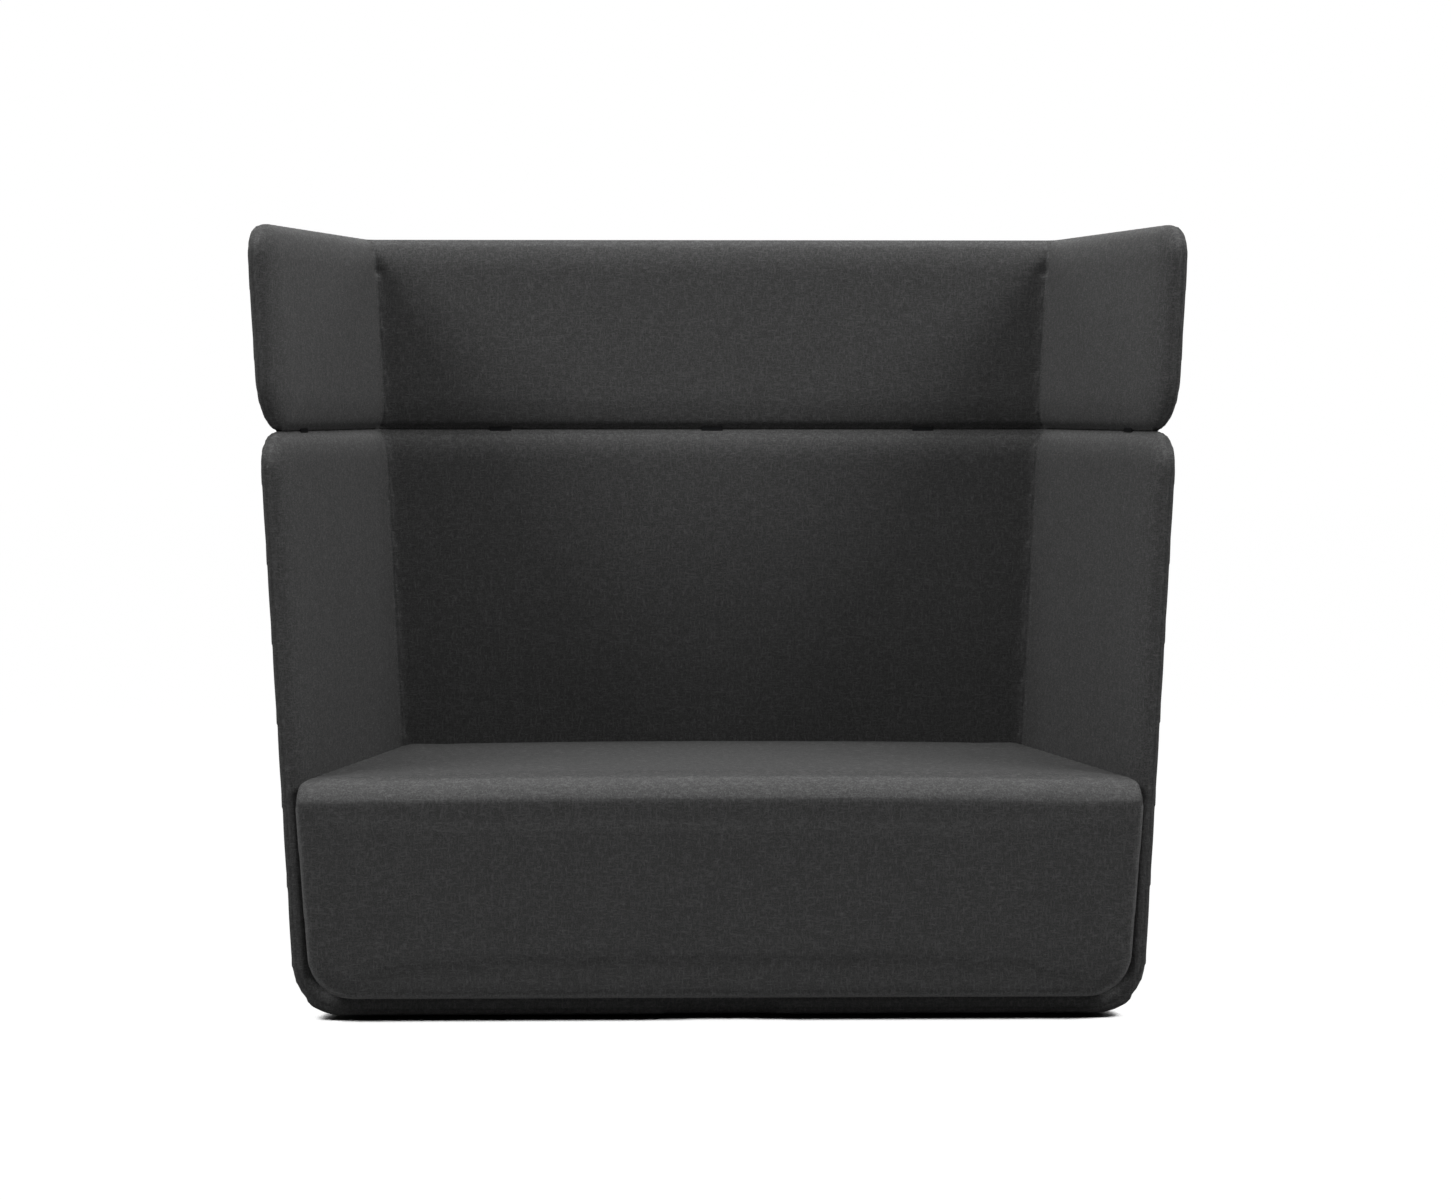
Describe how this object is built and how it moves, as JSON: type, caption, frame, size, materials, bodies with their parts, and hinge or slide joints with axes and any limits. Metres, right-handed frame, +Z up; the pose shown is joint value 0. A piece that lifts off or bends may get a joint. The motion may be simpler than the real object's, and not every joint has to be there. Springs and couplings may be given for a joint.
{
  "type": "high-back sofa",
  "caption": "High-back sofa: a flared upholstered shell with splayed wings and rounded corners, a block seat between them and a separate padded collar around the top.",
  "frame": {"origin": "on the floor under the middle of the sofa's box, glides screwed in", "axes": "+X along the sofa's width, towards the right when it is seen from the front; the front faces -Y; +Z is up"},
  "size_m": [1.6176, 0.81, 1.365],
  "materials": {
    "charcoal_felt": "felted wool, matt, fine melange",
    "foam": "open-cell foam",
    "plywood": "raw birch plywood",
    "beech": "raw beech",
    "webbing": "woven elastic",
    "dust_cloth": "black non-woven",
    "zinc_steel": "zinc plated",
    "black_nylon": "moulded, matt"
  },
  "bodies": {
    "sofa": {"back_pad": "foam", "back_panel": "plywood", "back_strap_centre": "zinc_steel", "back_strap_left": "zinc_steel", "back_strap_right": "zinc_steel", "base_board": "plywood", "base_curve_left": "plywood", "base_curve_right": "plywood", "base_pad": "foam", "collar_back_board": "plywood", "collar_back_pad": "foam", "collar_corner_post_left": "plywood", "collar_corner_post_right": "plywood", "collar_dowels": "beech", "collar_inner_cover": "charcoal_felt", "collar_outer_cover": "charcoal_felt", "collar_side_pad_left": "foam", "collar_side_pad_right": "foam", "collar_wing_board_left": "plywood", "collar_wing_board_right": "plywood", "corner_post_left": "plywood", "corner_post_right": "plywood", "dust_cover": "dust_cloth", "glide_nuts": "zinc_steel", "rear_rail": "plywood", "seat_bolts": "zinc_steel", "seat_centre_rail_left": "beech", "seat_centre_rail_right": "beech", "seat_corner_blocks": "beech", "seat_cover": "charcoal_felt", "seat_foam": "foam", "seat_front_rail": "beech", "seat_rear_rail": "beech", "seat_side_rail_left": "beech", "seat_side_rail_right": "beech", "seat_spacers": "zinc_steel", "seat_webbing": "webbing", "shell_dowels": "beech", "shell_inner_cover": "charcoal_felt", "shell_outer_cover": "charcoal_felt", "side_pad_left": "foam", "side_pad_right": "foam", "side_panel_left": "plywood", "side_panel_right": "plywood", "strap_bolts": "zinc_steel", "wing_strap_left": "zinc_steel", "wing_strap_right": "zinc_steel"},
    "glide_front_left_body": {"glide_front_left": "black_nylon"},
    "glide_front_middle_body": {"glide_front_middle": "black_nylon"},
    "glide_front_right_body": {"glide_front_right": "black_nylon"},
    "glide_rear_left_body": {"glide_rear_left": "black_nylon"},
    "glide_rear_middle_body": {"glide_rear_middle": "black_nylon"},
    "glide_rear_right_body": {"glide_rear_right": "black_nylon"}
  },
  "joints": [
    {"name": "glide_front_left_travel", "type": "slide", "parent": "sofa", "child": "glide_front_left_body", "axis": [0, 0, -1], "range_m": [0, 0.01]},
    {"name": "glide_front_middle_travel", "type": "slide", "parent": "sofa", "child": "glide_front_middle_body", "axis": [0, 0, -1], "range_m": [0, 0.01]},
    {"name": "glide_front_right_travel", "type": "slide", "parent": "sofa", "child": "glide_front_right_body", "axis": [0, 0, -1], "range_m": [0, 0.01]},
    {"name": "glide_rear_left_travel", "type": "slide", "parent": "sofa", "child": "glide_rear_left_body", "axis": [0, 0, -1], "range_m": [0, 0.01]},
    {"name": "glide_rear_middle_travel", "type": "slide", "parent": "sofa", "child": "glide_rear_middle_body", "axis": [0, 0, -1], "range_m": [0, 0.01]},
    {"name": "glide_rear_right_travel", "type": "slide", "parent": "sofa", "child": "glide_rear_right_body", "axis": [0, 0, -1], "range_m": [0, 0.01]}
  ]
}
